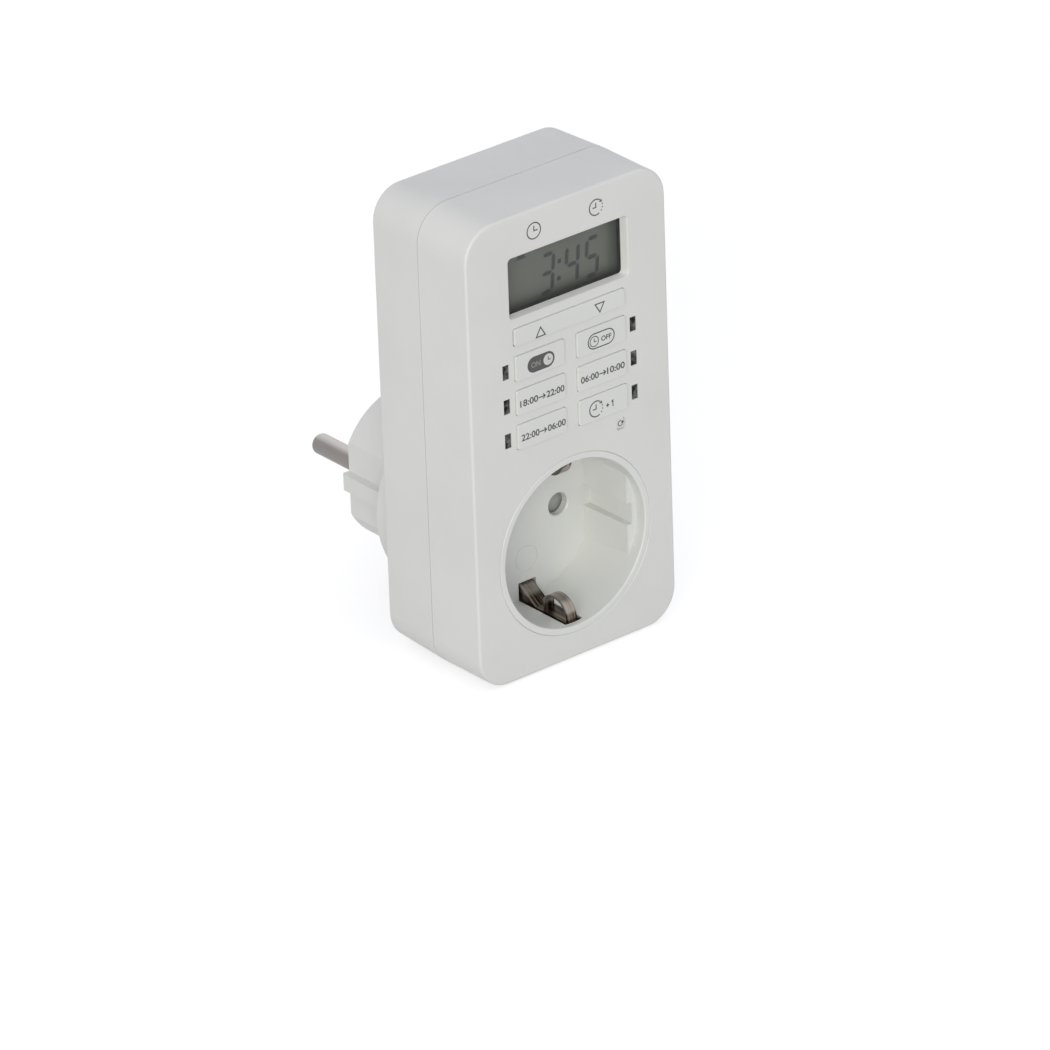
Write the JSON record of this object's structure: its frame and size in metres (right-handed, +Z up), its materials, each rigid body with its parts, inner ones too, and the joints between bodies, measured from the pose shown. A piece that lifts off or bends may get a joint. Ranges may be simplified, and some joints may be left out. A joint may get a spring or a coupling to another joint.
{
  "type": "plug-in timer switch",
  "caption": "Plug-in digital timer: earthed round-pin plug behind, shuttered earthed socket in front, display window, six keys, rocker and reset key on a tall box.",
  "frame": {"origin": "centre of the plug's end face, midway between its two pins", "axes": "+Z up the face from the socket to the display, +Y along the plug pins away from the user, +X to the right seen from the front"},
  "size_m": [0.0558, 0.0783, 0.1101],
  "materials": {
    "shell_white": "satin moulded ABS",
    "socket_white": "satin moulded thermoset",
    "key_white": "satin moulded ABS",
    "shutter_grey": "matt moulded plastic",
    "carrier_black": "matt glass-filled plastic",
    "frame_black": "matt plastic",
    "switch_black": "matt plastic",
    "chip_black": "matt moulding compound",
    "relay_case": "gloss plastic case",
    "screw_steel": "zinc plated",
    "spring_steel": "drawn spring wire",
    "can_steel": "plain steel can",
    "clip_metal": "nickel-plated spring bronze",
    "pin_nickel": "nickel-plated brass",
    "contact_brass": "plain stamped brass",
    "lens_clear": "clear polycarbonate window",
    "lcd_glass": "liquid-crystal glass, grey-green",
    "zebra_rubber": "striped contact rubber",
    "guide_smoke": "smoked clear plastic",
    "led_lens": "clear epoxy",
    "board_green": "green solder mask",
    "capacitor_yellow": "moulded box capacitor",
    "capacitor_blue": "sleeved can",
    "varistor_blue": "dipped epoxy",
    "resistor_green": "dipped cement"
  },
  "bodies": {
    "housing": {"front_housing": "shell_white", "rear_housing": "shell_white", "housing_screws": "screw_steel", "socket_pot": "socket_white", "shutter_spring": "spring_steel", "contact_carrier": "carrier_black", "earth_contact": "clip_metal", "line_contact": "contact_brass", "neutral_contact": "contact_brass", "line_feed_bar": "contact_brass", "line_pin": "pin_nickel", "neutral_pin": "pin_nickel", "pin_plate": "carrier_black", "display_lens": "lens_clear", "display_frame": "frame_black", "lcd_panel": "lcd_glass", "zebra_strip": "zebra_rubber", "rocker_fulcrum": "switch_black", "light_guide_1": "guide_smoke", "light_guide_2": "guide_smoke", "light_guide_3": "guide_smoke", "light_guide_4": "guide_smoke", "light_guide_5": "guide_smoke", "light_guide_6": "guide_smoke", "switch_bodies": "switch_black", "status_leds": "led_lens", "control_board": "board_green", "power_board": "board_green", "board_header": "carrier_black", "board_screws": "screw_steel", "microcontroller": "chip_black", "crystal": "can_steel", "relay": "relay_case", "dropper_capacitor": "capacitor_yellow", "smoothing_capacitor": "capacitor_blue", "varistor": "varistor_blue", "bridge_rectifier": "chip_black", "fusible_resistor": "resistor_green", "backup_cell": "can_steel"},
    "up_down": {"up_down_key": "key_white", "up_down_plungers": "switch_black"},
    "reset": {"reset_key": "key_white", "reset_plunger": "switch_black"},
    "shutter": {"shutter": "shutter_grey"},
    "on": {"on_key": "key_white", "on_key_plunger": "switch_black"},
    "off": {"off_key": "key_white", "off_key_plunger": "switch_black"},
    "preset_key_1": {"preset_key_1": "key_white", "preset_key_1_plunger": "switch_black"},
    "preset_key_2": {"preset_key_2": "key_white", "preset_key_2_plunger": "switch_black"},
    "preset_key_3": {"preset_key_3": "key_white", "preset_key_3_plunger": "switch_black"},
    "hour": {"hour_key": "key_white", "hour_key_plunger": "switch_black"}
  },
  "joints": [
    {"name": "on_press", "type": "slide", "parent": "housing", "child": "on", "axis": [0, 1, 0], "range_m": [0, 0.0004], "stiffness_N_per_m": 2500},
    {"name": "off_press", "type": "slide", "parent": "housing", "child": "off", "axis": [0, 1, 0], "range_m": [0, 0.0004], "stiffness_N_per_m": 2500},
    {"name": "preset_key_1_press", "type": "slide", "parent": "housing", "child": "preset_key_1", "axis": [0, 1, 0], "range_m": [0, 0.0004], "stiffness_N_per_m": 2500},
    {"name": "preset_key_2_press", "type": "slide", "parent": "housing", "child": "preset_key_2", "axis": [0, 1, 0], "range_m": [0, 0.0004], "stiffness_N_per_m": 2500},
    {"name": "preset_key_3_press", "type": "slide", "parent": "housing", "child": "preset_key_3", "axis": [0, 1, 0], "range_m": [0, 0.0004], "stiffness_N_per_m": 2500},
    {"name": "hour_press", "type": "slide", "parent": "housing", "child": "hour", "axis": [0, 1, 0], "range_m": [0, 0.0004], "stiffness_N_per_m": 2500},
    {"name": "reset_press", "type": "slide", "parent": "housing", "child": "reset", "axis": [0, 1, 0], "range_m": [0, 0.0004], "stiffness_N_per_m": 2500},
    {"name": "up_down_rock", "type": "hinge", "parent": "housing", "child": "up_down", "pos_m": [0, -0.0528, 0.0543], "axis": [0, 0, 1], "range_deg": [-1.2, 1.2], "stiffness_Nm_per_rad": 0.4},
    {"name": "shutter_turn", "type": "hinge", "parent": "housing", "child": "shutter", "pos_m": [0, -0.038, 0], "axis": [0, 1, 0], "range_deg": [0, 40], "stiffness_Nm_per_rad": 0.015, "deforming": ["shutter_spring"]}
  ]
}
